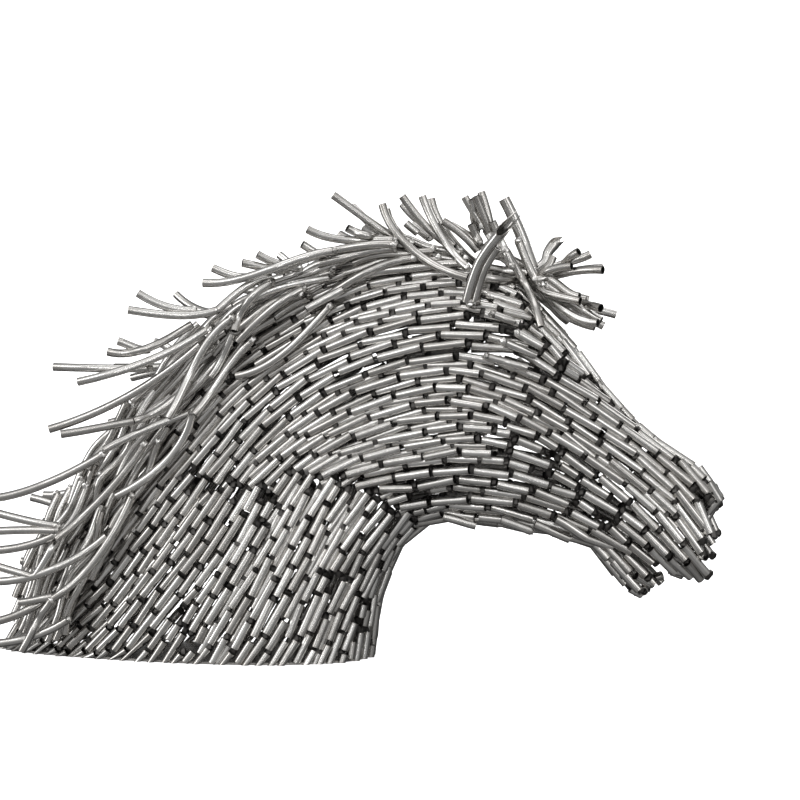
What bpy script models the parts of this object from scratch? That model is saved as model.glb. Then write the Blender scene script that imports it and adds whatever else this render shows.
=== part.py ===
"""Bust of a galloping horse, welded from cut lengths of stainless steel pipe.

The horse faces +X, its left side is +Y and +Z is up. The origin is the centre of the flat foot that
the neck is cut off on. Free forms (profile, sections, mane) are shares of the bust's own height.
"""

import math

import bmesh
import bpy
import numpy as np
from mathutils import Matrix, Vector, bvhtree

# Driving dimensions, in metres.
POLL_HEIGHT = 0.625
SKIN_PIPE_DIAMETER = 0.0127
MANE_PIPE_DIAMETER = 0.0135
EAR_PIPE_DIAMETER = 0.0240
WELD_GAP = 0.0003

# Rows of pipe relief on the solid body, and how finely the loft is cut.
ROWS_ROUND_BODY = 30
ROWS_ROUND_CHIN = 10
BODY_STATIONS = 27
CHIN_STATIONS = 6
CAP_RINGS = 2
BREAK_DEPTH = 0.75

# Side profile from the foot of the neck to the muzzle, as shares of POLL_HEIGHT. Each row is a station:
# crest x, crest z, throat x, throat z, half width, boxiness, and how far the width sits towards the throat.
NECK_AND_HEAD = (
    (-0.505, 0.000, 0.505, 0.000, 0.235, 2.1, 0.36),
    (-0.380, 0.246, 0.523, 0.143, 0.218, 2.1, 0.35),
    (-0.238, 0.481, 0.556, 0.236, 0.196, 2.1, 0.33),
    (-0.055, 0.709, 0.585, 0.287, 0.176, 2.1, 0.30),
    (0.188, 0.905, 0.614, 0.320, 0.158, 2.1, 0.24),
    (0.474, 1.000, 0.655, 0.345, 0.148, 2.2, 0.13),
    (0.694, 1.010, 0.706, 0.344, 0.152, 2.4, 0.03),
    (0.866, 0.958, 0.784, 0.328, 0.162, 2.6, -0.03),
    (0.990, 0.850, 0.880, 0.313, 0.154, 2.6, -0.02),
    (1.086, 0.722, 0.979, 0.296, 0.128, 2.5, 0.04),
    (1.190, 0.606, 1.085, 0.272, 0.103, 2.4, 0.10),
    (1.284, 0.537, 1.200, 0.232, 0.092, 2.4, 0.12),
    (1.363, 0.480, 1.290, 0.209, 0.090, 2.4, 0.08),
    (1.403, 0.414, 1.384, 0.194, 0.074, 2.3, 0.00),
)
MUZZLE_DOME = 0.044
CHIN = (
    (1.100, 0.360, 1.050, 0.300, 0.062, 2.2, 0.0),
    (1.172, 0.296, 1.096, 0.252, 0.070, 2.2, 0.0),
    (1.240, 0.243, 1.135, 0.192, 0.070, 2.2, 0.0),
    (1.275, 0.200, 1.198, 0.142, 0.056, 2.2, 0.0),
)
CHIN_DOME = 0.022

# Hollows and bulges of the face, on both sides: centre x and z, spread and height, as shares.
FACE_FORMS = (
    (0.880, 0.758, 0.032, -0.020),
    (0.880, 0.825, 0.040, 0.013),
    (0.960, 0.640, 0.055, 0.008),
    (0.770, 0.560, 0.110, 0.018),
    (0.620, 0.620, 0.070, -0.012),
    (1.322, 0.375, 0.026, -0.016),
    (1.318, 0.430, 0.032, 0.008),
    (1.120, 0.420, 0.070, -0.010),
)
# The hollow between the two jaw bones: station, spread in stations, spread in radians and depth.
JAW_HOLLOW = (8.4, 1.3, 0.26, 0.020)

# The mane's welded layers lie on the neck in eight locks a side. Thickness at the crest is a share, reach down
# each side is in radians. The mane's span, how far a lock's lower end falls back and the parting between locks
# are in stations. A lock thins out towards both of its ends by the share LOCK_SWELL.
MANE_THICKNESS = 0.056
MANE_THIN_EDGE = 0.18
MANE_REACH = 0.92
MANE_SPAN = (0.0, 5.75)
MANE_PARTING = 0.012
LOCK_SLANT = 0.30
LOCK_PARTING = 0.008
LOCK_SWELL = 0.16
LOCK_ROWS = 3
LOCK_COLUMNS = 4
LOCK_COLUMN_BIAS = 1.3

# The free ends that each lock sends out into the wind, from the foot of the neck to the poll. Each end is the
# station of its root, then its tip's x and z as shares, and its heading there in degrees (90 up, 180 back).
LOCK_ENDS = (
    ((0.50, -0.620, 0.026, 180), (0.66, -0.628, 0.083, 176)),
    ((1.10, -0.612, 0.202, 166), (1.25, -0.571, 0.253, 165), (1.40, -0.579, 0.275, 176)),
    ((1.68, -0.546, 0.320, 184), (1.90, -0.555, 0.376, 166), (2.08, -0.555, 0.403, 180)),
    ((2.68, -0.304, 0.573, 188), (2.80, -0.335, 0.586, 196)),
    ((3.30, -0.268, 0.707, 190), (3.42, -0.334, 0.746, 178), (3.54, -0.182, 0.784, 165)),
    ((3.80, -0.156, 0.811, 165), (4.02, -0.129, 0.891, 172), (4.20, -0.103, 0.934, 146)),
    ((4.66, 0.067, 0.960, 176), (4.78, 0.093, 0.998, 155), (4.94, 0.170, 1.011, 172)),
    ((5.36, 0.340, 1.098, 150), (5.54, 0.407, 1.186, 145), (5.68, 0.536, 1.162, 103)),
)
END_ROOT_SHARES = (0.22, 0.42, 0.60)
END_ROOT_DEPTH = 0.42
END_LIFT_OFF = 38
END_BACK_STEP = 0.1
END_SIDEWAYS = (0.046, 0.020)

# Tufts that stand up on the poll: station on the crest and steepness of the middle pipe in degrees.
TUFTS = ((6.05, 56), (6.7, 76))
TUFT_SPACING = 0.72
TUFT_FAN = 14.0
TUFT_SPREAD = 0.15
TUFT_LENGTH = 0.200
TUFT_ROOT_RUN = 0.3

FORELOCK_STATION = 7.0
FORELOCK_FALLS = (12, -9, -27)
FORELOCK_LENGTH = 0.20
FORELOCK_DOWN = 0.34
FORELOCK_SPACING = 0.07
FORELOCK_SPREAD = 0.16
FORELOCK_ROOT_RUN = 0.35

# An ear's centre line runs through these steps from its foot: forwards, outwards and up, as shares. The left ear
# is turned further forwards, in degrees.
EAR_FOOT = (0.775, 0.903)
EAR_STEPS = ((0.032, 0.019, 0.066), (0.058, 0.042, 0.130), (0.092, 0.064, 0.182), (0.138, 0.083, 0.223))
EAR_TURNS = {-1: 0, 1: 14}
EAR_SWELL = (1.0, 1.0, 1.0, 1.0, 1.05, 1.2, 1.3, 1.0, 0.5)

MANE_FINENESS = 1
PIPE_STEPS = 4
EAR_FINENESS = 2
CAP_WELD = 0.00001


def spline(table, at):
    """Catmull-Rom curve through the rows of table, at positions counted in rows."""
    rows = np.asarray(table, float)
    first = np.clip(np.floor(at).astype(int), 0, len(rows) - 2)
    t = (np.asarray(at, float) - first)[..., None]
    b, c = rows[first], rows[first + 1]
    a = np.where((first == 0)[..., None], 2 * b - c, rows[np.maximum(first - 1, 0)])
    last = len(rows) - 1
    d = np.where((first + 1 == last)[..., None], 2 * c - b, rows[np.minimum(first + 2, last)])
    curve = 2 * b + (c - a) * t + (2 * a - 5 * b + 4 * c - d) * t**2 + (3 * b - a - 3 * c + d) * t**3
    return curve / 2


def loft_point(table, at, angle):
    """Points of the plain loft: at is the station and angle runs from the crest down the right side."""
    row = spline(table, at)
    crest, throat = row[..., 0:2], row[..., 2:4]
    width, boxiness, low = row[..., 4], row[..., 5], row[..., 6]
    up = (crest - throat) / 2
    middle = (crest + throat) / 2
    cosine, sine = np.cos(angle), np.sin(angle)
    rise = np.sign(cosine) * np.abs(cosine) ** (2 / boxiness)
    side = np.sign(sine) * np.abs(sine) ** (2 / boxiness) * width * (1 - low * rise)
    x = middle[..., 0] + up[..., 0] * rise
    z = middle[..., 1] + up[..., 1] * rise
    return np.stack([x, -side, z], axis=-1)


def loft_normal(table, at, angle):
    """Outward unit normals of the plain loft."""
    step = 1e-3
    last = len(table) - 1
    along = loft_point(table, np.minimum(at + step, last), angle)
    along = along - loft_point(table, np.maximum(at - step, 0), angle)
    around = loft_point(table, at, angle + step) - loft_point(table, at, angle - step)
    normal = np.cross(around, along)
    return normal / np.maximum(np.linalg.norm(normal, axis=-1, keepdims=True), 1e-12)


def face_relief(points, normals, at, angle):
    """How far the face's hollows and bulges move the surface, as a share of the height."""
    height = np.zeros(points.shape[:-1])
    for x, z, spread, rise in FACE_FORMS:
        away = (points[..., 0] - x) ** 2 + (points[..., 2] - z) ** 2
        height = height + rise * np.exp(-away / (2 * spread**2)) * normals[..., 1] ** 2
    station, stations_wide, radians_wide, depth = JAW_HOLLOW
    off = ((at - station) / stations_wide) ** 2 + ((angle - math.pi) / radians_wide) ** 2
    return height - depth * np.exp(-off / 2)


def skin(table, at, angle, with_face=True):
    """Outer surface of the welded skin and its normals, in metres."""
    at, angle = np.broadcast_arrays(np.asarray(at, float), np.asarray(angle, float))
    points = loft_point(table, at, angle)
    normals = loft_normal(table, at, angle)
    if with_face:
        points = points + normals * face_relief(points, normals, at, angle)[..., None]
    return points * POLL_HEIGHT, normals


def even_stations(table, count):
    """Station values that cut the loft's middle line into equal lengths."""
    fine = np.linspace(0, len(table) - 1, 40 * len(table))
    rows = spline(table, fine)
    middle = (rows[:, 0:2] + rows[:, 2:4]) / 2
    run = np.concatenate([[0], np.cumsum(np.linalg.norm(np.diff(middle, axis=0), axis=1))])
    return np.interp(np.linspace(0, run[-1], count), run, fine)


def pipe_relief(row_points, station, row_count):
    """Depth of each ring point below the skin, as a share of a pipe's radius: pipes stand up, joints sink."""
    depth = np.ones(row_points)
    rows = np.arange(row_count)
    broken = (rows + station) % 2 == 0
    depth[1::2] = np.where(broken, BREAK_DEPTH, 0.0)
    return depth


def mesh_from(form, name):
    """The closed form as a mesh of triangles, which leave no doubt where its surface lies."""
    bmesh.ops.recalc_face_normals(form, faces=form.faces)
    bmesh.ops.triangulate(form, faces=form.faces)
    mesh = bpy.data.meshes.new(name)
    form.to_mesh(mesh)
    form.free()
    return mesh


def loft_mesh(name, table, rows_round, station_count, dome, with_face):
    """Closed mesh of one loft, with the rows of pipe as ridges along it and a domed front end."""
    ring_points = 2 * rows_round
    angles = np.arange(ring_points) * 2 * math.pi / ring_points
    stations = even_stations(table, station_count)
    radius = SKIN_PIPE_DIAMETER / 2
    rings = []
    for index, station in enumerate(stations):
        points, normals = skin(table, np.full(ring_points, station), angles, with_face)
        if index == 0:
            normals[:, 2] = 0
        depth = pipe_relief(ring_points, index, rows_round)
        rings.append(points - normals * (depth * radius)[:, None])
    last = rings[-1]
    centre = last.mean(axis=0)
    forward = np.cross(last[ring_points // 4] - centre, last[0] - centre)
    forward = forward / np.linalg.norm(forward)
    for index in range(1, CAP_RINGS + 1):
        turn = index / (CAP_RINGS + 1) * math.pi / 2
        rings.append(centre + (last - centre) * math.cos(turn) + forward * dome * POLL_HEIGHT * math.sin(turn))
    tip = centre + forward * dome * POLL_HEIGHT

    form = bmesh.new()
    made = [[form.verts.new(point) for point in ring] for ring in rings]
    for lower, upper in zip(made, made[1:]):
        for i in range(ring_points):
            j = (i + 1) % ring_points
            form.faces.new((lower[i], lower[j], upper[j], upper[i]))
    form.faces.new(made[0])
    peak = form.verts.new(tip)
    for i in range(ring_points):
        form.faces.new((made[-1][i], made[-1][(i + 1) % ring_points], peak))
    return mesh_from(form, name)


def surface_of(mesh):
    """The mesh's surface as a tree that finds places on it."""
    return bvhtree.BVHTree.FromPolygons([v.co for v in mesh.vertices], [p.vertices for p in mesh.polygons])


def settle(piece, skin_tree, outward):
    """Moves a piece down onto the skin, or up out of it, until the two all but touch."""
    upwards = Matrix.Translation(outward * WELD_GAP)
    downwards = upwards.inverted()
    while not surface_of(piece.data).overlap(skin_tree):
        piece.data.transform(downwards)
    while surface_of(piece.data).overlap(skin_tree):
        piece.data.transform(upwards)
    piece.data.transform(upwards)


def on_skin(station, side, down, lift):
    """Place above the skin: an angle down from the crest on one side, -1 for right and 1 for left."""
    point, normal = skin(NECK_AND_HEAD, station, -side * down)
    return Vector(point) + Vector(normal) * lift


def smooth_path(stops, steps):
    """Evenly parted points along a smooth curve through the stops."""
    fine = spline([tuple(stop) for stop in stops], np.linspace(0, len(stops) - 1, 12 * len(stops)))
    run = np.concatenate([[0], np.cumsum(np.linalg.norm(np.diff(fine, axis=0), axis=1))])
    marks = np.linspace(0, run[-1], steps + 1)
    return [Vector(tuple(np.interp(mark, run, fine[:, axis]) for axis in range(3))) for mark in marks]


def kept_off_skin(skin_tree, path, clearance):
    """The path, moved out where it comes nearer to the skin than clearance; its root is set right on it."""
    moved = []
    for number, point in enumerate(path):
        near, outward, _, _ = skin_tree.find_nearest(point)
        away = point - near
        if away.dot(outward) < 0:
            away = outward
        if number == 0 or away.length < clearance:
            point = near + away.normalized() * clearance
        moved.append(point)
    return moved


def lock_edges(number):
    """First and last station of a lock at the crest, counted from the foot of the neck."""
    first, last = MANE_SPAN
    length = (last - first) / len(LOCK_ENDS)
    return first + length * number, first + length * (number + 1)


def mane_thickness(down, along):
    """Thickness of the mane's layers, in metres: they thin out down the neck's side and at a lock's ends."""
    across = MANE_THIN_EDGE + (1 - MANE_THIN_EDGE) * np.cos(down / MANE_REACH * math.pi / 2)
    return MANE_THICKNESS * POLL_HEIGHT * across * (1 - LOCK_SWELL * (1 - np.sin(along * math.pi)))


def down_at(share):
    """Angle down from the crest at a share of a lock's width."""
    return MANE_PARTING + (MANE_REACH - MANE_PARTING) * share**LOCK_COLUMN_BIAS


def lock_body(name, number, side, seat):
    """Closed form of one lock's layers, lying on one side of the neck at a height above its skin."""
    first, last = lock_edges(number)
    along = np.linspace(0, 1, LOCK_ROWS + 1)[:, None]
    share = np.linspace(0, 1, LOCK_COLUMNS + 1)[None, :]
    down = down_at(share)
    lower = np.maximum(first - LOCK_SLANT * share, 0)
    station = lower + (last - LOCK_SLANT * share - lower - LOCK_PARTING) * along
    points, normals = skin(NECK_AND_HEAD, station, -side * down)
    normals = np.where(station[..., None] > 0, normals, normals * (1, 1, 0))
    outer = points + normals * mane_thickness(down, along)[..., None]
    inner = points + normals * seat

    form = bmesh.new()
    over = [[form.verts.new(point) for point in row] for row in outer]
    under = [[form.verts.new(point) for point in row] for row in inner]
    for sheet in (over, under):
        for i in range(LOCK_ROWS):
            for j in range(LOCK_COLUMNS):
                form.faces.new((sheet[i][j], sheet[i + 1][j], sheet[i + 1][j + 1], sheet[i][j + 1]))
    edge = [(i, 0) for i in range(LOCK_ROWS)] + [(LOCK_ROWS, j) for j in range(LOCK_COLUMNS)]
    edge += [(i, LOCK_COLUMNS) for i in range(LOCK_ROWS, 0, -1)] + [(0, j) for j in range(LOCK_COLUMNS, 0, -1)]
    for (i, j), (k, l) in zip(edge, edge[1:] + edge[:1]):
        form.faces.new((over[i][j], over[k][l], under[k][l], under[i][j]))
    return mesh_from(form, name)


def seated_lock(name, number, side, skin_tree):
    """A lock's closed form, as low on the skin as it lies without cutting into it."""
    seat = WELD_GAP
    mesh = lock_body(name, number, side, seat)
    while surface_of(mesh).overlap(skin_tree):
        bpy.data.meshes.remove(mesh)
        seat += WELD_GAP
        mesh = lock_body(name, number, side, seat)
    bpy.data.meshes.remove(mesh)
    return lock_body(name, number, side, seat + WELD_GAP)


def end_path(number, order, side):
    """Centre line of one free end, from its root inside the lock to its tip in the air."""
    station, x, z, heading = LOCK_ENDS[number][order]
    share = END_ROOT_SHARES[order]
    station -= LOCK_SLANT * share
    down = down_at(share)
    lift = END_ROOT_DEPTH * mane_thickness(down, 0.5)
    root = on_skin(station, side, down, lift)
    back = (on_skin(station - END_BACK_STEP, side, down, lift) - root).normalized()
    outward = (on_skin(station, side, down, 2 * lift) - root).normalized()
    off = math.radians(END_LIFT_OFF)
    leaving = back * math.cos(off) + outward * math.sin(off)
    nearest, step = END_SIDEWAYS
    turn = math.radians(heading)
    tip = Vector((x * POLL_HEIGHT, side * (nearest + step * order) * POLL_HEIGHT, z * POLL_HEIGHT))
    arriving = Vector((math.cos(turn), 0, math.sin(turn)))
    reach = (tip - root).length
    path = []
    for share in np.linspace(0, 1, PIPE_STEPS + 1):
        ease = share * share * (3 - 2 * share)
        place = root.lerp(tip, ease) + leaving * reach * share * (1 - share) ** 2
        path.append(place - arriving * reach * share**2 * (1 - share))
    return path


def tuft_paths(skin_tree, station, rise):
    """Centre lines of a tuft that stands up on the crest between the ears."""
    rest = MANE_PIPE_DIAMETER / 2 + WELD_GAP
    paths = []
    for row in (-1, 0, 1):
        turn = math.radians(rise + TUFT_FAN * row)
        aside = Vector((0, TUFT_SPACING * MANE_PIPE_DIAMETER * row, 0))
        root = on_skin(station + TUFT_ROOT_RUN, 1, 0.0, rest) + aside
        foot = on_skin(station, 1, 0.0, rest) + aside
        heading = Vector((-math.cos(turn), TUFT_SPREAD * row, math.sin(turn)))
        tip = foot + heading * TUFT_LENGTH * POLL_HEIGHT
        paths.append(kept_off_skin(skin_tree, smooth_path([root, foot, tip], PIPE_STEPS), rest))
    return paths


def forelock_paths(skin_tree, side):
    """Centre lines of the locks blown forwards over the brow, on one side."""
    rest = MANE_PIPE_DIAMETER / 2 + WELD_GAP
    paths = []
    for row, fall in enumerate(FORELOCK_FALLS):
        turn = math.radians(fall)
        down = FORELOCK_DOWN + FORELOCK_SPACING * row
        root = on_skin(FORELOCK_STATION - FORELOCK_ROOT_RUN, side, down, rest)
        knee = on_skin(FORELOCK_STATION, side, down, rest + MANE_PIPE_DIAMETER / 2)
        heading = Vector((math.cos(turn), side * FORELOCK_SPREAD * row, math.sin(turn)))
        tip = knee + heading * FORELOCK_LENGTH * POLL_HEIGHT
        paths.append(kept_off_skin(skin_tree, smooth_path([root, knee, tip], PIPE_STEPS), rest))
    return paths


def pipe_mesh(name, path, diameter, swell, fineness):
    """One closed pipe along a centre line; swell holds its relative thickness at each point."""
    curve = bpy.data.curves.new(name, "CURVE")
    curve.dimensions = "3D"
    curve.bevel_depth = diameter / 2
    curve.bevel_resolution = fineness
    curve.use_fill_caps = True
    line = curve.splines.new("POLY")
    line.points.add(len(path) - 1)
    for point, place, share in zip(line.points, path, swell):
        point.co = (*place, 1)
        point.radius = share
    guide = bpy.data.objects.new(f"{name}_line", curve)
    bpy.context.scene.collection.objects.link(guide)
    mesh = bpy.data.meshes.new_from_object(guide.evaluated_get(bpy.context.evaluated_depsgraph_get()))
    bpy.data.objects.remove(guide)
    form = bmesh.new()
    form.from_mesh(mesh)
    bmesh.ops.remove_doubles(form, verts=form.verts, dist=CAP_WELD)
    return mesh_from(form, name)


def welded(name, meshes, collection, steel):
    """One object, joined from overlapping closed meshes."""
    target = bpy.data.objects.new(name, meshes[0])
    collection.objects.link(target)
    for number, mesh in enumerate(meshes[1:]):
        other = bpy.data.objects.new(f"{name}_weld_{number}", mesh)
        bpy.context.scene.collection.objects.link(other)
        join = target.modifiers.new("weld", "BOOLEAN")
        join.operation = "UNION"
        join.object = other
        graph = bpy.context.evaluated_depsgraph_get()
        joined = bpy.data.meshes.new_from_object(target.evaluated_get(graph))
        target.modifiers.remove(join)
        target.data = joined
        bpy.data.objects.remove(other)
    form = bmesh.new()
    form.from_mesh(target.data)
    target.data = mesh_from(form, name)
    target.data.materials.append(steel)
    return target


def mane_pipes(name, paths):
    """Bent pipes of the mane, one along each path."""
    even = [1.0] * (PIPE_STEPS + 1)
    return [pipe_mesh(name, path, MANE_PIPE_DIAMETER, even, MANE_FINENESS) for path in paths]


def bundle(name, paths, skin_tree, collection, steel):
    """A bundle of bent pipes welded to each other and set down on the skin."""
    piece = welded(name, mane_pipes(name, paths), collection, steel)
    roots = sum((path[0] for path in paths), Vector()) / len(paths)
    settle(piece, skin_tree, skin_tree.find_nearest(roots)[1])


def mane_lock(name, number, side, skin_tree, collection, steel):
    """One lock of the mane with its free ends."""
    paths = [end_path(number, order, side) for order in range(len(LOCK_ENDS[number]))]
    welded(name, [seated_lock(name, number, side, skin_tree), *mane_pipes(name, paths)], collection, steel)


def ear(name, skin_tree, side, collection, steel):
    """An ear: a bent pipe that swells into a spoon near its tip."""
    x, z = (share * POLL_HEIGHT for share in EAR_FOOT)
    foot, outward, _, _ = skin_tree.ray_cast(Vector((x, side, z)), Vector((0, -side, 0)))
    radius = EAR_PIPE_DIAMETER / 2
    foot += outward * (radius + WELD_GAP)
    turned = Matrix.Rotation(math.radians(EAR_TURNS[side]), 3, "Y")
    steps = [turned @ Vector((forwards, side * outwards, up)) for forwards, outwards, up in EAR_STEPS]
    path = smooth_path([foot, *(foot + step * POLL_HEIGHT for step in steps)], len(EAR_SWELL) - 1)
    path = kept_off_skin(skin_tree, path, radius + WELD_GAP)
    pipe = pipe_mesh(name, path, EAR_PIPE_DIAMETER, EAR_SWELL, EAR_FINENESS)
    settle(welded(name, [pipe], collection, steel), skin_tree, outward)


def stainless_steel():
    """Satin stainless steel, as the pipes are finished."""
    steel = bpy.data.materials.new("stainless_steel")
    steel.use_nodes = True
    shader = steel.node_tree.nodes["Principled BSDF"]
    shader.inputs["Base Color"].default_value = (0.56, 0.55, 0.53, 1)
    shader.inputs["Metallic"].default_value = 1.0
    shader.inputs["Roughness"].default_value = 0.3
    return steel


def clear_scene():
    for item in list(bpy.data.objects):
        bpy.data.objects.remove(item)


def main():
    clear_scene()
    bust = bpy.data.collections.new("pipe_horse_bust")
    bpy.context.scene.collection.children.link(bust)
    steel = stainless_steel()
    neck = loft_mesh("neck", NECK_AND_HEAD, ROWS_ROUND_BODY, BODY_STATIONS, MUZZLE_DOME, True)
    chin = loft_mesh("chin", CHIN, ROWS_ROUND_CHIN, CHIN_STATIONS, CHIN_DOME, False)
    body = welded("neck_and_head", [neck, chin], bust, steel)
    skin_tree = surface_of(body.data)
    for number, (station, rise) in enumerate(TUFTS, 1):
        bundle(f"poll_tuft_{number}", tuft_paths(skin_tree, station, rise), skin_tree, bust, steel)
    for side, label in ((-1, "right"), (1, "left")):
        for number in range(len(LOCK_ENDS)):
            mane_lock(f"mane_lock_{label}_{number + 1:02d}", number, side, skin_tree, bust, steel)
        bundle(f"forelock_{label}", forelock_paths(skin_tree, side), skin_tree, bust, steel)
        ear(f"ear_{label}", skin_tree, side, bust, steel)


main()
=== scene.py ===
"""Looks of the pipe horse bust: a skin of short welded pipes, and a mane, forelock and ears of bent pipes."""

import math
import random
from functools import partial
from itertools import product

import bpy
import numpy as np
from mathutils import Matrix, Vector, bvhtree


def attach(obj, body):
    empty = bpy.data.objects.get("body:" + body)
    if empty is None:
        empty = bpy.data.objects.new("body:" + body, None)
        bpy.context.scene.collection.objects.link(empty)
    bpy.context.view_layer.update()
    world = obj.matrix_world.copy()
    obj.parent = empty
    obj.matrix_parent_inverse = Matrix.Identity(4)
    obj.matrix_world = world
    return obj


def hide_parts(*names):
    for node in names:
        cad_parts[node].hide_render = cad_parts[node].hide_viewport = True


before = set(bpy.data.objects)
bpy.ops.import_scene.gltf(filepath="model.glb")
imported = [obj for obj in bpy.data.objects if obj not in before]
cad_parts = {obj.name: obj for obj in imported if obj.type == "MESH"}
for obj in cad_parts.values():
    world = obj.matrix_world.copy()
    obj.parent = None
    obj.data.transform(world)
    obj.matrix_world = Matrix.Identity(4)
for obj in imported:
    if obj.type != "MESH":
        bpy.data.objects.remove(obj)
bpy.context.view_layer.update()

# Driving dimensions, in metres. Places on the free form are shares of POLL_HEIGHT, as in the solid model.
POLL_HEIGHT = 0.625
SKIN_DIAMETER = 0.0140
SKIN_WALL = 0.0013
MANE_DIAMETER = 0.0135
MANE_WALL = 0.0014
FOOT_CLEARANCE = 0.0004
SKIN_SIDES = 16
MANE_SIDES = 14
SKIN_PIPE = (SKIN_DIAMETER, SKIN_WALL, SKIN_SIDES)
SHARP_ANGLE = 40
SEED = 20

# Rows of skin pipes, as shares of ROW_PITCH: how close one may come to another, the room it starts in, and
# how far aside the next is tried; then the same for the short rows that fill the places left open.
ROW_PITCH = 0.0166
ROW_CLOSEST = 0.84
ROW_OPEN = 0.985
ROW_ASIDE = 1.01
FILLER_OPEN = 0.55
FILLER_CLOSEST = 0.49
HEAD_WIDER = 0.05
HEAD_BLEND = (0.30, 0.45)
LEFT_CLOSER = 0.94
TRACE_STEP = 0.005
MOST_STEPS = 400
BRANCH_EVERY = 3
# Grid rows and columns between tried starts, and how far rows stay from the grid's edge.
ROW_STARTS = (5, 4)
FILLER_STARTS = (2, 2)
FIRST_START = (0.45, 0.25)
GRID_EDGE = 1.2
# Steps that the lower and the upper rows run past the seam, and the dip of each step.
SEAM_STEPS = {True: 3, False: 1}
SEAM_DIP = 0.0008

# Pipes of a row: lengths, the first one's share, and the room and luck that place the joints between rows.
PIPE_LENGTHS = (0.047, 0.052, 0.057, 0.062, 0.068)
LENGTH_SPREAD = (0.96, 1.04)
FIRST_LENGTH = (0.45, 1.0)
PIPE_GAPS = (0.0060, 0.0115)
JOINT_ROOM = 0.03
JOINT_LUCK = 0.004
SHORTEST_PIPE = 0.018
SHORTEST_FILLER = 0.010
# How deep pipes lie, and how much pipes, their ends and whole rows stray.
SKIN_SINK = 0.0012
FILLER_SINK = 0.0060
PIPE_LIFT = 0.0007
END_LIFT = 0.0010
END_SHIFT = 0.0016
ROW_LIFT = 0.0009
# Pipes left out: steep ones, ones with an end above the skin, and ones in the other skin.
STEEPEST_PIPE = 0.4
END_DEPTH = 0.002
BURIED = 0.6
FAR_FROM_SKIN = 0.055
HEAD_FROM = 0.62

# Welds: beads at the mane's roots and lumps deep in the skin's joints, painted dark as shade, but not at its
# open ends.
WELD_BEAD = 0.0062
BEAD_SHARE = 0.7
BEAD_RISE = 0.3
BEAD_ROUGHNESS = 0.16
BEAD_WAVES = (5.1, 3.7, 4.3)
BEAD_TURN = 40
WELD_LUMP = 0.0068
LUMP_DEPTH = 0.0132
LUMP_AHEAD = 0.004
LUMP_SHARE = 0.85
LAST_JOINT = 0.01
OPEN_ENDS = (8, 26)

# The photograph shows 1.28 m across at the bust's middle plane. The camera stands a little to the front of
# square, and its middle ray meets the middle plane at CAMERA_TARGET.
CAMERA_AZIMUTH = 12.0
CAMERA_TARGET = (0.358, 0.0, 0.413)
CAMERA_LENS = 100.0
SENSOR_WIDTH = 36.0
PHOTO_WIDTH = 1.28
PHOTO_CENTRE = (0.3504, 0.4128)
CAMERA_DISTANCE = PHOTO_WIDTH * CAMERA_LENS / SENSOR_WIDTH

# Side profile from the foot of the neck to the muzzle. Each row is a station: crest x, crest z, throat x,
# throat z, half width, boxiness, and how far the width sits towards the throat.
NECK_AND_HEAD = (
    (-0.505, 0.000, 0.505, 0.000, 0.235, 2.1, 0.36),
    (-0.380, 0.246, 0.523, 0.143, 0.218, 2.1, 0.35),
    (-0.238, 0.481, 0.556, 0.236, 0.196, 2.1, 0.33),
    (-0.055, 0.709, 0.585, 0.287, 0.176, 2.1, 0.30),
    (0.188, 0.905, 0.614, 0.320, 0.158, 2.1, 0.24),
    (0.474, 1.000, 0.655, 0.345, 0.148, 2.2, 0.13),
    (0.694, 1.010, 0.706, 0.344, 0.152, 2.4, 0.03),
    (0.866, 0.958, 0.784, 0.328, 0.162, 2.6, -0.03),
    (0.990, 0.850, 0.880, 0.313, 0.154, 2.6, -0.02),
    (1.086, 0.722, 0.979, 0.296, 0.128, 2.5, 0.04),
    (1.190, 0.606, 1.085, 0.272, 0.103, 2.4, 0.10),
    (1.284, 0.537, 1.200, 0.232, 0.092, 2.4, 0.12),
    (1.363, 0.480, 1.290, 0.209, 0.090, 2.4, 0.08),
    (1.403, 0.414, 1.384, 0.194, 0.074, 2.3, 0.00),
)
MUZZLE_DOME = 0.044
CHIN = (
    (1.100, 0.360, 1.050, 0.300, 0.062, 2.2, 0.0),
    (1.172, 0.296, 1.096, 0.252, 0.070, 2.2, 0.0),
    (1.240, 0.243, 1.135, 0.192, 0.070, 2.2, 0.0),
    (1.275, 0.200, 1.198, 0.142, 0.056, 2.2, 0.0),
)
CHIN_DOME = 0.022
FACE_FORMS = (
    (0.880, 0.758, 0.032, -0.020), (0.880, 0.825, 0.040, 0.013), (0.960, 0.640, 0.055, 0.008),
    (0.770, 0.560, 0.110, 0.018), (0.620, 0.620, 0.070, -0.012), (1.322, 0.375, 0.026, -0.016),
    (1.318, 0.430, 0.032, 0.008), (1.120, 0.420, 0.070, -0.010),
)
JAW_HOLLOW = (8.4, 1.3, 0.26, 0.020)

# How the rows of pipes run, seen from the side: x, z and the slope in degrees. The rows of the lower neck
# end at a seam below the cheek, and the rows above it sweep round into the head.
UPPER_ROWS = (
    (0.128, 0.558, 50), (0.233, 0.660, 40), (0.311, 0.712, 33), (0.311, 0.916, 28),
    (0.442, 0.788, 20), (0.652, 0.993, 8), (0.573, 0.840, 12), (0.704, 0.840, 5),
    (0.835, 0.916, -14), (0.835, 0.763, -15), (0.966, 0.660, -29), (1.000, 0.830, -50),
    (1.097, 0.532, -36), (1.227, 0.404, -43), (1.358, 0.302, -56), (0.285, 0.481, 42),
    (0.390, 0.507, 27), (0.495, 0.507, 15), (0.573, 0.456, 7), (0.756, 0.392, -4),
    (0.966, 0.353, -20),
)
LOWER_ROWS = (
    (0.311, 0.276, 62), (0.181, 0.404, 62), (0.442, 0.148, 66), (0.495, 0.046, 77),
    (0.547, 0.225, 62), (0.573, 0.353, 50), (-0.264, 0.046, 42), (-0.081, 0.148, 52),
    (0.050, 0.046, 60),
)
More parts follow.
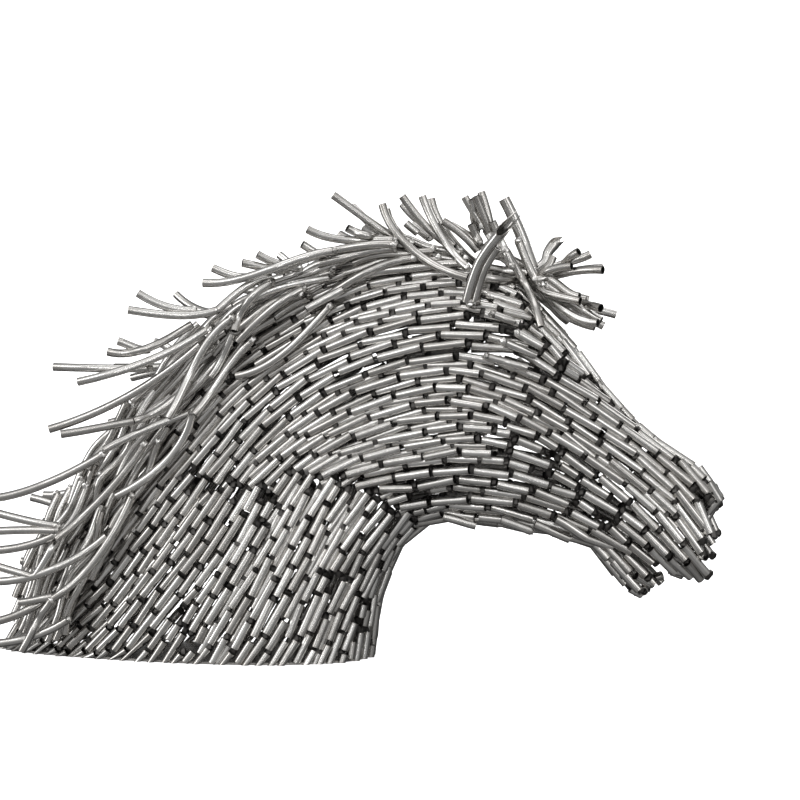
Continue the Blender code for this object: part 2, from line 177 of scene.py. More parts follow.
SEAM = ((0.181, 0.448), (0.285, 0.463), (0.429, 0.448), (0.531, 0.412), (0.639, 0.345))
COMB_REACH = 0.05
# How far the skin turns sideways where the rows go over from plain ones along the body to combed ones.
COMBED = (0.22, 0.62)
LEAST_SIDEWAYS = 0.2

# The mane's bent pipes as the photograph shows them on its middle plane, from the back layer to the front:
# root x and z in millimetres, the heading there in degrees (0 forward, 90 up, 180 back), and then the tip's.
MANE_PIPES = (
    (342, 669, 180, 202, 686, 150), (338, 675, 150, 243, 741, 145), (310, 672, 165, 266, 688, 150),
    (190, 624, 180, 122, 646, 150), (235, 640, 165, 194, 662, 150), (165, 621, 185, 98, 632, 172),
    (110, 610, 190, 51, 624, 155), (341, 656, 182, 222, 632, 190), (341, 662, 178, 150, 618, 205),
    (246, 652, 186, 35, 600, 176), (235, 608, 190, 110, 572, 212), (21, 557, 185, -69, 584, 146),
    (59, 557, 200, -85, 557, 172), (146, 610, 185, 59, 557, 222), (-50, 494, 195, -101, 507, 165),
    (18, 534, 212, -117, 490, 165), (-50, 464, 182, -210, 466, 178), (40, 525, 215, -170, 442, 190),
    (-75, 379, 190, -192, 358, 188), (-5, 419, 222, -75, 379, 195), (30, 501, 222, -211, 366, 196),
    (-125, 326, 212, -345, 252, 180), (18, 394, 200, -123, 333, 210), (11, 445, 245, -18, 387, 240),
    (-198, 211, 172, -345, 242, 166), (-202, 203, 176, -340, 200, 184), (-242, 130, 165, -355, 158, 165),
    (18, 394, 262, -104, 259, 205), (-202, 197, 208, -360, 172, 176), (-59, 342, 238, -200, 190, 218),
    (-197, 189, 232, -242, 130, 228), (-180, 62, 215, -375, 18, 180), (-206, 100, 215, -378, 50, 176),
    (-120, 195, 222, -374, 126, 166), (-206, 98, 190, -262, 88, 185), (-78, 259, 246, -206, 95, 210),
    (-213, 90, 245, -258, 10, 238), (373, 640, 185, 206, 557, 218), (258, 589, 208, 200, 558, 210),
    (197, 592, 205, 91, 506, 228), (146, 602, 205, 85, 523, 258), (82, 544, 212, -21, 384, 238),
    (114, 509, 222, 21, 390, 228), (82, 518, 248, 48, 450, 232), (238, 563, 228, 88, 451, 188),
)
# The short pipes that stand up along the poll, in the same form; a wider one has its diameter last.
POLL_PIPES = (
    (379, 680, 140, 360, 696, 135), (430, 660, 150, 354, 739, 126), (475, 651, 128, 419, 699, 152),
    (478, 664, 115, 464, 694, 115), (482, 691, 118, 454, 738, 118), (501, 651, 98, 472, 739, 110),
    (575, 612, 170, 478, 628, 165), (565, 600, 175, 460, 612, 172), (560, 622, 150, 500, 660, 130),
    (540, 620, 140, 492.5, 678, 120), (563, 624, 108, 517, 735, 118, 19.5), (528, 632, 125, 510, 653, 125),
    (530, 627, 115, 498, 698, 115), (458, 624, 138, 386, 739, 110), (458, 608, 166, 322, 726, 103),
)
# The forelock's pipes, which fall over the brow.
FORELOCK_PIPES = (
    (560, 606, 330, 648, 573, 352), (580, 602, 325, 652, 573, 345), (566, 612, 15, 640, 620, 5),
    (566, 604, 12, 674, 624, 0), (600, 626, 25, 655, 646, 28), (580, 596, 335, 676, 531, 335),
    (560, 590, 318, 662, 530, 350), (610, 570, 340, 696, 549, 342), (498, 550, 342, 533, 538, 340),
    (538, 520, 331, 579, 497, 331), (516, 506, 337, 568, 484, 338), (488, 482, 346, 554, 464, 345),
    (520, 652, 300, 576, 530, 282), (540, 668, 292, 620, 539, 325, 15),
)
# Single pipes that stick out below the jaw, in the same form.
JAW_PIPES = (
    (566, 214, 338, 622, 190, 338), (512, 221, 342, 561, 203, 340), (420, 226, 350, 472, 212, 348),
    (600, 222, 335, 648, 192, 330),
)
# Centre lines of the ears' pipes from the foot up, in metres: x and z as the photograph shows them on its
# middle plane, and how far out each place lies. An ear is a wide pipe with a slit tip, and another behind it.
RIGHT_EAR = (
    (0.4565, 0.5700, 0.083), (0.4645, 0.5995, 0.090), (0.4757, 0.6301, 0.098), (0.4904, 0.6541, 0.106),
    (0.5064, 0.6741, 0.114), (0.5197, 0.6901, 0.121), (0.5411, 0.7141, 0.131),
)
RIGHT_EAR_PROP = (
    (0.4704, 0.5700, 0.081), (0.4792, 0.6021, 0.087), (0.4896, 0.6288, 0.095), (0.5064, 0.6555, 0.103),
)
LEFT_EAR = (
    (0.4920, 0.5624, 0.086), (0.5300, 0.6000, 0.098), (0.5771, 0.6288, 0.113), (0.5877, 0.6500, 0.120),
    (0.6011, 0.6661, 0.128), (0.6144, 0.6741, 0.135),
)
LEFT_EAR_PROP = (
    (0.5050, 0.5580, 0.086), (0.5420, 0.5930, 0.098), (0.5850, 0.6220, 0.112), (0.5960, 0.6420, 0.119),
)
EAR_DIAMETER = 0.0150
EAR_PROP_DIAMETER = 0.0125
EAR_SIDES = 28
EAR_STEPS = 30
# Width along an ear, and where its wall ends round it, by degrees from the middle of its mouth.
EAR_SWELL = ((0.0, 0.5, 0.72, 0.85, 1.0), (1.0, 1.0, 1.28, 1.15, 0.70))
EAR_WALL_ENDS = ((0, 40, 75, 95, 118, 140, 180), (0.70, 0.735, 0.83, 0.88, 1.0, 0.91, 0.885))
EAR_MOUTHS = {-1: (-0.3, 0.3), 1: (-0.5, 0.5)}
EAR_BEADS = 3
EAR_BEAD_JOG = (0.006, 0.004)
FOOT_PLATE = (0.009, 0.004)

# Bent pipes: how far to the side they lie where the body isn't behind them, how the left side's stray from
# the right side's, steps along a pipe, and how far it drifts outwards to its tip.
EDGE_SIDEWAYS = 0.030
LEAST_DEPTH = 0.6
DEPTH_SOFTENING = 5
WIDEST_PIPE = 0.1475
MANE_SHAKE = (0.02, 0.01, 8, 0.03, 0.012, 9)
POLL_SHAKE = (0.02, 0.005, 10, 0.02, 0.01, 10)
MANE_STEPS = 16
POLL_STEPS = 12
JAW_STEPS = 4
MANE_DRIFT = (-0.01, 0.03)
POLL_DRIFT = (-0.01, 0.02)
FAR_POLL_DRIFT = (-0.02, 0.01)
# Pipes that cross: how near their lines may come in diameters, and how a pipe is lifted off those below.
PILE_REACH = 0.88
PILE_MARGIN = 0.05
PILE_ROUNDS = 22
PILE_LIFT = 0.0018
PILE_SOFTENING = 6
# Waving pipes under the mane, in rows by radians down from the crest: the first, the lowest layer's last, how
# much sooner each next layer ends, and the step. Then their stations along the body, and how they run.
MANE_LAYERS = 3
BASE_ROWS = (0.04, 0.86, 0.2, 0.145)
BASE_STRAY = 0.05
BASE_START = (0.9, 1.3)
BASE_END = 6.3
BASE_SPACING = (0.85, 1.25)
STATION_LENGTH = 0.165
FEWEST_PLACES = 5
BASE_STEPS = 14
BASE_RUN = (0.10, 0.17)
BASE_WAVE = 0.065
WAVE_SHARE = (0.5, 1.0)
WAVE_SWING = 3
WAVE_DROOP = 0.1
# How far down the side the mane's lower layers reach, in radians round the body, by station from the foot.
MANE_REACH = ((1.0, 2.0, 3.0, 4.0, 4.6, 5.2, 6.4), (0.76, 0.72, 0.64, 0.52, 0.36, 0.26, 0.20))

BODY_ROWS = 210
BODY_COLUMNS = 220
CHIN_ROWS = 40
CHIN_COLUMNS = 80
DOME_ROWS = 8
DOME_SHORT = 0.6
RING_MARKS = 721

# Steel outside and in the bores: darkest and lightest colour, least and most roughness, and heat marks.
OUTSIDE_STEEL = ((0.40, 0.385, 0.365), (0.76, 0.75, 0.73), 0.17, 0.31, 0.5)
# The bores' near-black colours are painted shade: the shade inside the pipes and in the skin's joints.
BORE_PAINTED_SHADE_STEEL = ((0.05, 0.048, 0.045), (0.12, 0.115, 0.11), 0.45, 0.6, 0.0)
HEAT_COLOUR = (0.20, 0.17, 0.14, 1)
HEAT_FROM = 0.36
DRAWN_LINES = (44.0, 0.35, 1.0)
LINE_SHIFT = 97.0
LINE_DEPTH = 0.0004
CLOUDS = 55.0
TONE_WEIGHT = 0.55
CLOUD_WEIGHT = 0.45

# The stage: the floor's y and z from front to back, the sky's strength between two directions on an axis, and
# lamps with place, target, width, height and watts.
FLOOR_PROFILE = ((-4.0, 0.0), (2.0, 0.0), (2.35, 0.05), (2.6, 0.2), (2.78, 0.45), (2.85, 0.8), (2.85, 5.0))
FLOOR_SIDE = 7.0
PAPER = {
    "Base Color": (0.8, 0.8, 0.8, 1),
    "Roughness": 0.9,
    "Emission Color": (1, 1, 1, 1),
    "Emission Strength": 0.9,
}
SKY = (("Y", 0.25, -0.75, 0.22, 0.82), ("Z", -0.35, 0.55, 0.35, 1.15))
LAMPS = (
    ("key", (-1.5, -2.8, 2.3), (0.3, 0, 0.4), 1.5, 0.9, 11),
    ("top", (0.5, -0.2, 2.8), (0.35, 0, 0.4), 2.6, 0.7, 10),
    ("left", (-2.7, -2.0, 0.9), (0.1, 0, 0.2), 0.9, 1.8, 20),
    ("back", (1.4, 2.3, 2.0), (0.3, 0, 0.4), 1.6, 1.0, 14),
    ("strip_across", (0.2, -2.7, 1.7), (0.35, 0, 0.35), 3.0, 0.10, 5.5),
    ("strip_up", (1.0, -3.0, 0.8), (0.35, 0, 0.3), 0.10, 2.0, 4),
    ("right", (3.0, -2.3, 1.3), (0.5, 0, 0.4), 0.8, 1.8, 10),
)


def spline(table, at):
    """Catmull-Rom curve through the rows of table, at positions counted in rows."""
    rows = np.asarray(table, float)
    first = np.clip(np.floor(at).astype(int), 0, len(rows) - 2)
    t = (np.asarray(at, float) - first)[..., None]
    b, c = rows[first], rows[first + 1]
    a = np.where((first == 0)[..., None], 2 * b - c, rows[np.maximum(first - 1, 0)])
    last = len(rows) - 1
    d = np.where((first + 1 == last)[..., None], 2 * c - b, rows[np.minimum(first + 2, last)])
    curve = 2 * b + (c - a) * t + (2 * a - 5 * b + 4 * c - d) * t**2 + (3 * b - a - 3 * c + d) * t**3
    return curve / 2


def loft_point(table, at, angle):
    """Points of the plain loft: at is the station and angle runs from the crest down the right side."""
    row = spline(table, at)
    crest, throat = row[..., 0:2], row[..., 2:4]
    width, boxiness, low = row[..., 4], row[..., 5], row[..., 6]
    up = (crest - throat) / 2
    middle = (crest + throat) / 2
    cosine, sine = np.cos(angle), np.sin(angle)
    rise = np.sign(cosine) * np.abs(cosine) ** (2 / boxiness)
    side = np.sign(sine) * np.abs(sine) ** (2 / boxiness) * width * (1 - low * rise)
    x = middle[..., 0] + up[..., 0] * rise
    z = middle[..., 1] + up[..., 1] * rise
    return np.stack([x, -side, z], axis=-1)


def loft_normal(table, at, angle):
    """Outward unit normals of the plain loft."""
    step = 1e-3
    last = len(table) - 1
    along = loft_point(table, np.minimum(at + step, last), angle)
    along = along - loft_point(table, np.maximum(at - step, 0), angle)
    around = loft_point(table, at, angle + step) - loft_point(table, at, angle - step)
    return unit(np.cross(around, along))


def face_relief(points, normals, at, angle):
    """How far the face's hollows and bulges move the surface, as a share of the height."""
    height = np.zeros(points.shape[:-1])
    for x, z, spread, rise in FACE_FORMS:
        away = (points[..., 0] - x) ** 2 + (points[..., 2] - z) ** 2
        height = height + rise * np.exp(-away / (2 * spread**2)) * normals[..., 1] ** 2
    station, stations_wide, radians_wide, depth = JAW_HOLLOW
    off = ((at - station) / stations_wide) ** 2 + ((angle - math.pi) / radians_wide) ** 2
    return height - depth * np.exp(-off / 2)


def skin_points(table, at, angle, with_face):
    """Outer surface of the welded skin, in metres."""
    at, angle = np.broadcast_arrays(np.asarray(at, float), np.asarray(angle, float))
    points = loft_point(table, at, angle)
    if with_face:
        normals = loft_normal(table, at, angle)
        points = points + normals * face_relief(points, normals, at, angle)[..., None]
    return points * POLL_HEIGHT


def even_stations(table, count):
    """Station values that cut the loft's middle line into equal lengths."""
    fine = np.linspace(0, len(table) - 1, 40 * len(table))
    rows = spline(table, fine)
    run = length_along((rows[:, 0:2] + rows[:, 2:4]) / 2)
    return np.interp(np.linspace(0, run[-1], count), run, fine)


def length_along(points):
    """Length of the line through points, from the first one to each."""
    return np.concatenate([[0], np.cumsum(np.linalg.norm(np.diff(points, axis=0), axis=1))])


def values_at(marks, run, points):
    """Values of the rows of points at lengths along their line."""
    return np.stack([np.interp(marks, run, points[:, axis]) for axis in range(3)], axis=-1)


def unit(vectors):
    return vectors / np.maximum(np.linalg.norm(vectors, axis=-1, keepdims=True), 1e-12)


def smoothstep(low, high, value):
    share = np.clip((value - low) / (high - low), 0, 1)
    return share * share * (3 - 2 * share)


def camera_axes():
    """Camera place, and its right and forward directions."""
    turn = math.radians(CAMERA_AZIMUTH)
    right = np.array([math.cos(turn), math.sin(turn), 0.0])
    forward = np.array([-math.sin(turn), math.cos(turn), 0.0])
    return np.array(CAMERA_TARGET) - forward * CAMERA_DISTANCE, right, forward


def seen_places(points):
    """Where the camera sees points, as x and z on the middle plane; left side points count as mirrored."""
    place, right, forward = camera_axes()
    mirrored = np.stack([points[..., 0], -np.abs(points[..., 1]), points[..., 2]], axis=-1)
    off = mirrored - place
    scale = CAMERA_DISTANCE / (off @ forward)
    x = CAMERA_TARGET[0] + (off @ right) * scale / right[0]
    return np.stack([x, CAMERA_TARGET[2] + off[..., 2] * scale], axis=-1)


def sight_lines(x, z):
    """Places of the photograph's middle plane, and the way to the camera from each."""
    place, right, _ = camera_axes()
    aside = (np.asarray(x) - PHOTO_CENTRE[0])[:, None] * right
    up = (np.asarray(z) - PHOTO_CENTRE[1])[:, None] * np.array([0.0, 0.0, 1.0])
    spots = np.array(CAMERA_TARGET) + aside + up
    return spots, unit(place - spots)


def seam_height(x):
    """Height of the seam between the lower neck's rows and the rest, or None where there is none."""
    x = x / POLL_HEIGHT
    if not SEAM[0][0] < x < SEAM[-1][0]:
        return None
    for (x0, z0), (x1, z1) in zip(SEAM, SEAM[1:]):
        if x <= x1:
            return (z0 + (z1 - z0) * (x - x0) / (x1 - x0)) * POLL_HEIGHT


def below_seam(seen):
    height = seam_height(seen[0])
    return None if height is None else bool(seen[1] < height)


def combed(strokes, seen):
    """Slope vectors at seen places, blended from strokes by nearness."""
    strokes = np.array(strokes, float)
    x, z = seen[..., 0:1] / POLL_HEIGHT, seen[..., 1:2] / POLL_HEIGHT
    away = (strokes[:, 0] - x) ** 2 + (strokes[:, 1] - z) ** 2
    weight = 1 / (away + COMB_REACH**2) ** 2
    slope = np.radians(strokes[:, 2])
    return unit(np.stack([(weight * np.cos(slope)).sum(-1), (weight * np.sin(slope)).sum(-1)], axis=-1))


def row_directions(seen, normals, along):
    """Unit directions of the rows of pipes all over the neck and head."""
    flat = combed(UPPER_ROWS + LOWER_ROWS, seen)
    over, under = combed(UPPER_ROWS, seen), combed(LOWER_ROWS, seen)
    for index in np.ndindex(seen.shape[:2]):
        zone = below_seam(seen[index])
        if zone is not None:
            flat[index] = under[index] if zone else over[index]
    plain = unit(along)
    sideways = np.abs(normals[..., 1])
    share = smoothstep(*COMBED, sideways)[..., None]
    steep = np.where(normals[..., 1] < 0, -1, 1) * np.maximum(sideways, LEAST_SIDEWAYS)
    y = -(flat[..., 0] * normals[..., 0] + flat[..., 1] * normals[..., 2]) / steep
    brushed = unit(np.stack([flat[..., 0], y, flat[..., 1]], axis=-1))
    brushed = brushed * np.where((brushed * plain).sum(-1) < 0, -1, 1)[..., None]
    mixed = plain * (1 - share) + brushed * share
    return unit(mixed - normals * (mixed * normals).sum(-1, keepdims=True))


class Skin:
    """A closed skin as a grid of places: rows run from the foot to the domed end, columns evenly round it."""

    def __init__(self, table, rows, columns, dome, with_face):
        angles = np.linspace(0, 2 * math.pi, RING_MARKS)
        rings = []
        for station in even_stations(table, rows):
            ring = skin_points(table, station, angles, with_face)
            run = length_along(ring)
            rings.append(values_at(np.linspace(0, run[-1], columns + 1)[:-1], run, ring))
        last = rings[-1]
        centre = last.mean(axis=0)
        forward = unit(np.cross(last[columns // 4] - centre, last[0] - centre))
        for index in range(1, DOME_ROWS + 1):
            turn = index / (DOME_ROWS + DOME_SHORT) * math.pi / 2
            bulge = forward * dome * POLL_HEIGHT * math.sin(turn)
            rings.append(centre + (last - centre) * math.cos(turn) + bulge)
        self.points = np.array(rings)
        self.rows, self.columns = self.points.shape[:2]
        along = np.gradient(self.points, axis=0)
        around = (np.roll(self.points, -1, axis=1) - np.roll(self.points, 1, axis=1)) / 2
        self.normals = unit(np.cross(around, along))
        seen = seen_places(self.points)
        headings = row_directions(seen, self.normals, along) if with_face else unit(along)
        self.sheet = np.concatenate([self.points, self.normals, along, around, headings, seen], axis=-1)
        self.tree = self.make_tree()

    def make_tree(self):
        faces = []
        for i, j in product(range(self.rows - 1), range(self.columns)):
            k = (j + 1) % self.columns
            a, b = i * self.columns, (i + 1) * self.columns
            faces.append((a + j, a + k, b + k, b + j))
        return bvhtree.BVHTree.FromPolygons(self.points.reshape(-1, 3).tolist(), faces)

    def at(self, row, column):
        """Place, normal, the two grid directions, the row's heading and the place as the camera sees it."""
        row = min(max(row, 0.0), self.rows - 1.001)
        i, j = int(row), int(column // 1)
        a, b = row - i, column - j
        j %= self.columns
        k = (j + 1) % self.columns
        low = self.sheet[i, j] * (1 - b) + self.sheet[i, k] * b
        high = self.sheet[i + 1, j] * (1 - b) + self.sheet[i + 1, k] * b
        mixed = low * (1 - a) + high * a
        return mixed[0:3], mixed[3:6], mixed[6:9], mixed[9:12], mixed[12:15], mixed[15:17]

    def moved(self, row, column, along, around, direction, length):
        """Grid position after a move of that length along the skin."""
        a, b, c = along @ along, along @ around, around @ around
        d, e = direction @ along * length, direction @ around * length
        det = max(a * c - b * b, 1e-16)
        return row + (c * d - b * e) / det, column + (a * e - b * d) / det

    def depth(self, point):
        """How deep a point lies under the skin; negative above it, and for a place far from it."""
        near, normal, _, gap = self.tree.find_nearest(Vector(point))
        return (near - Vector(point)).dot(normal) if gap < FAR_FROM_SKIN else -gap


class Crowd:
    """Points already laid, in cells, so that near ones are found quickly."""

    def __init__(self, cell):
        self.cell = cell
        self.cells = {}

    def key(self, point):
        return tuple(int(math.floor(value / self.cell)) for value in point)

    def add(self, point, owner):
        x, y, z = (float(value) for value in point)
        self.cells.setdefault(self.key((x, y, z)), []).append((x, y, z, owner))

    def nearest(self, point, skip=None):
        """Distance to the nearest point of another owner, up to about one cell."""
        px, py, pz = (float(value) for value in point)
        best = math.inf
        for cell in product(*((k - 1, k, k + 1) for k in self.key((px, py, pz)))):
            for x, y, z, owner in self.cells.get(cell, ()):
                if owner != skip:
                    best = min(best, (x - px) ** 2 + (y - py) ** 2 + (z - pz) ** 2)
        return math.sqrt(best)


def local_pitch(place):
    """Pitch of the rows at a place: a little wider on the head, and closer on the left side."""
    wider = 1 + HEAD_WIDER * float(smoothstep(*HEAD_BLEND, place[0]))
    return ROW_PITCH * wider * (LEFT_CLOSER if place[1] > 0 else 1)


def trace_row(skin, crowd, owner, row, column, closest):
    """Points along a row of pipes through a grid position, both ways, to another row, the seam or an edge."""
    halves = []
    for sign in (1, -1):
        r, c = row, column
        zone = below_seam(skin.at(r, c)[5])
        half = []
        past = 0
        for _ in range(MOST_STEPS):
            _, _, along, around, heading, _ = skin.at(r, c)
            middle = skin.moved(r, c, along, around, heading * sign, TRACE_STEP / 2)
            _, _, along, around, heading, _ = skin.at(*middle)
            r, c = skin.moved(r, c, along, around, heading * sign, TRACE_STEP)
            if r < 0 and half:
                half.append((half[-1][0] + heading * sign * TRACE_STEP * 2, half[-1][1], 0, c))
            if not 0 <= r <= skin.rows - GRID_EDGE:
                break
            place, normal, _, _, _, seen = skin.at(r, c)
            now = below_seam(seen)
            if past or (now != zone and now is not None and zone is not None):
                past += 1
                if past > SEAM_STEPS[zone]:
                    break
                half.append((place - normal * past * SEAM_DIP, normal, r, c))
                continue
            zone = now
            if crowd.nearest(place, owner) < local_pitch(place) * closest:
                break
            half.append((place, normal, r, c))
        halves.append(half)
    start = skin.at(row, column)
    return halves[1][::-1] + [(start[0], start[1], row, column)] + halves[0]


def trace_rows(skin, draw):
    """Evenly parted rows over the whole skin, and the short rows that fill the places left open."""
    crowd = Crowd(ROW_PITCH * (1 + HEAD_WIDER))
    lines = []
    starts = list(product(range(2, skin.rows - 2, ROW_STARTS[0]), range(0, skin.columns, ROW_STARTS[1])))
    draw.shuffle(starts)
    starts.insert(0, (skin.rows * FIRST_START[0], skin.columns * FIRST_START[1]))
    waiting = []
    while starts or waiting:
        r, c = waiting.pop(0) if waiting else starts.pop(0)
        if not 0 <= r <= skin.rows - GRID_EDGE:
            continue
        place = skin.at(r, c)[0]
        if crowd.nearest(place) < local_pitch(place) * ROW_OPEN:
            continue
        line = trace_row(skin, crowd, len(lines), r, c, ROW_CLOSEST)
        if len(line) * TRACE_STEP < SHORTEST_PIPE:
            continue
        for point in line:
            crowd.add(point[0], len(lines))
        lines.append(line)
        for _, _, r, c in line[::BRANCH_EVERY]:
            place, normal, along, around, heading, _ = skin.at(r, c)
            sideways = np.cross(normal, heading)
            aside = local_pitch(place) * ROW_ASIDE
            for sign in (1, -1):
                waiting.append(skin.moved(r, c, along, around, sideways * sign, aside))
    fillers = []
    for r, c in product(range(1, skin.rows - 2, FILLER_STARTS[0]), range(0, skin.columns, FILLER_STARTS[1])):
        place = skin.at(r, c)[0]
        if crowd.nearest(place) < local_pitch(place) * FILLER_OPEN:
            continue
        owner = len(lines) + len(fillers)
        line = trace_row(skin, crowd, owner, r, c, FILLER_CLOSEST)
        if len(line) * TRACE_STEP < SHORTEST_FILLER:
            continue
        for point in line:
            crowd.add(point[0], owner)
        fillers.append(line)
    return lines, fillers


def placed(name, data):
    """A new object in the scene."""
    item = bpy.data.objects.new(name, data)
    bpy.context.scene.collection.objects.link(item)
    return item


class PipeBatch:
    """Hollow pipes gathered into one mesh, with how each place lies around and along its pipe as a UV map."""

    def __init__(self):
        self.verts, self.faces, self.uvs, self.bores, self.tones = [], [], [], [], []
        self.count = 0

    def add(self, path, across, diameter, wall, sides, tone, ends=None):
        path = np.array(path, float)
        path[:, 1] = np.clip(path[:, 1], -WIDEST_PIPE, WIDEST_PIPE)
        radius = np.broadcast_to(np.asarray(diameter, float) / 2, len(path))[:, None, None]
        steps = len(path) - 1
        ahead = unit(np.gradient(path, axis=0))
        frames = []
        for heading in ahead:
            across = unit(across - heading * (across @ heading))
            frames.append(across)
        first = np.array(frames)
        second = np.cross(ahead, first)
        turn = np.arange(sides) * 2 * math.pi / sides
        ring = first[:, None] * np.cos(turn)[None, :, None] + second[:, None] * np.sin(turn)[None, :, None]
        outer = path[:, None] + ring * radius
        inner = path[:, None] + ring * (radius - wall)
        if ends is not None:
            at = np.arange(steps + 1)[:, None] * np.asarray(ends)[None, :]
            low = np.minimum(at.astype(int), steps - 1)
            share, column = (at - low)[..., None], np.arange(sides)[None, :]
            outer = outer[low, column] * (1 - share) + outer[low + 1, column] * share
            inner = inner[low, column] * (1 - share) + inner[low + 1, column] * share
        self.verts.append(np.concatenate([outer, inner]).reshape(-1, 3))
        run = length_along(path)
        run = run / run[-1]

        i = np.arange(sides)
        j = (i + 1) % sides
        base = self.count
        bore = base + (steps + 1) * sides
        for k in range(steps):
            a, b = base + k * sides, base + (k + 1) * sides
            self.strip((a + i, a + j, b + j, b + i), run[k], run[k + 1], (0, 1, 1, 0))
            a, b = bore + k * sides, bore + (k + 1) * sides
            self.strip((a + j, a + i, b + i, b + j), run[k], run[k + 1], (1, 0, 0, 1))
            # Inner faces take the bores' material, whose near-black colour is painted shade.
            self.bores += [0] * sides + [1] * sides
        self.strip((base + i, bore + i, bore + j, base + j), 0, 0, (0, 0, 1, 1))
        a, b = base + steps * sides, bore + steps * sides
        self.strip((a + i, a + j, b + j, b + i), 1, 1, (0, 1, 1, 0))
        self.bores += [0] * 2 * sides
        self.tones += [tone] * (2 * steps + 2) * sides
        self.count += 2 * (steps + 1) * sides

    def strip(self, quads, low, high, corners):
        """A ring of quads and their UVs: two corners of each at low, then two at high."""
        sides = len(quads[0])
        across = [(np.arange(sides) + corner) / sides for corner in corners]
        along = [np.full(sides, value) for value in (low, low, high, high)]
        self.faces.append(np.stack(quads, axis=-1))
        self.uvs.append(np.stack([np.stack(across, axis=-1), np.stack(along, axis=-1)], axis=-1))

    def add_bead(self, centre, radius, tone, bore=0, rings=5, sides=8):
        """A weld bead: a rough little ball."""
        turn = np.arange(sides) * 2 * math.pi / sides
        tilt = (np.arange(rings) + 0.5) / rings * math.pi
        ball = np.stack([np.sin(tilt)[:, None] * np.cos(turn), np.sin(tilt)[:, None] * np.sin(turn),
                         np.cos(tilt)[:, None] * np.ones(sides)], axis=-1)
        rough = 1 + BEAD_ROUGHNESS * np.sin(ball @ BEAD_WAVES + tone * BEAD_TURN)[..., None]
        centre = (centre[0], min(max(centre[1], -WIDEST_PIPE), WIDEST_PIPE), centre[2])
        self.verts.append((ball * rough * radius + centre).reshape(-1, 3))
        i = np.arange(sides)
        j = (i + 1) % sides
        for k in range(rings - 1):
            a, b = self.count + k * sides, self.count + (k + 1) * sides
            self.strip((b + i, b + j, a + j, a + i), 0.5, 0.5, (0, 1, 1, 0))
            # bore=1 gives a bead the bores' near-black painted shade.
            self.bores += [bore] * sides
            self.tones += [tone] * sides
        self.count += rings * sides

    def make(self, name, materials, nodes):
        verts = np.concatenate(self.verts)
        verts[:, 2] = np.maximum(verts[:, 2], FOOT_CLEARANCE)
        faces = np.concatenate(self.faces)
        mesh = bpy.data.meshes.new(name)
        mesh.from_pydata(verts.tolist(), [], faces.tolist())
        layer = mesh.uv_layers.new(name="pipe")
        layer.data.foreach_set("uv", np.concatenate(self.uvs).reshape(-1))
        tone = mesh.attributes.new("tone", "FLOAT", "FACE")
        tone.data.foreach_set("value", np.array(self.tones, np.float32))
        mesh.polygons.foreach_set("material_index", np.array(self.bores, np.int32))
        mesh.shade_smooth()
        mesh.set_sharp_from_angle(angle=math.radians(SHARP_ANGLE))
        for material in materials:
            mesh.materials.append(material)
        piece = placed(name, mesh)
        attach(piece, "root")
        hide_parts(*nodes)


def cut_into_pipes(line, ends, draw):
    """Cuts a row into pipes: where each starts and stops, with joints away from those of its neighbours."""
    points = np.array([entry[0] for entry in line])
    run = length_along(points)
    total = run[-1]
    cuts = [(0.0, total)] if total <= SHORTEST_PIPE else []
    start = 0.0
    while total - start > SHORTEST_PIPE:
        gap = draw.uniform(*PIPE_GAPS)
        best, choice = -1.0, None
        for length in PIPE_LENGTHS:
            if not cuts:
                length *= draw.uniform(*FIRST_LENGTH)
            stop = min(start + length * draw.uniform(*LENGTH_SPREAD), total)
            place = values_at(min(stop + gap / 2, total), run, points)
            room = min(ends.nearest(place), JOINT_ROOM) + draw.uniform(0, JOINT_LUCK)
            if room > best:
                best, choice = room, (stop, place)
        stop, place = choice
        if total - stop < SHORTEST_PIPE:
            stop = min(total, start + PIPE_LENGTHS[-1])
        cuts.append((start, stop))
        ends.add(place, 0)
        start = stop + gap
    return points, run, cuts


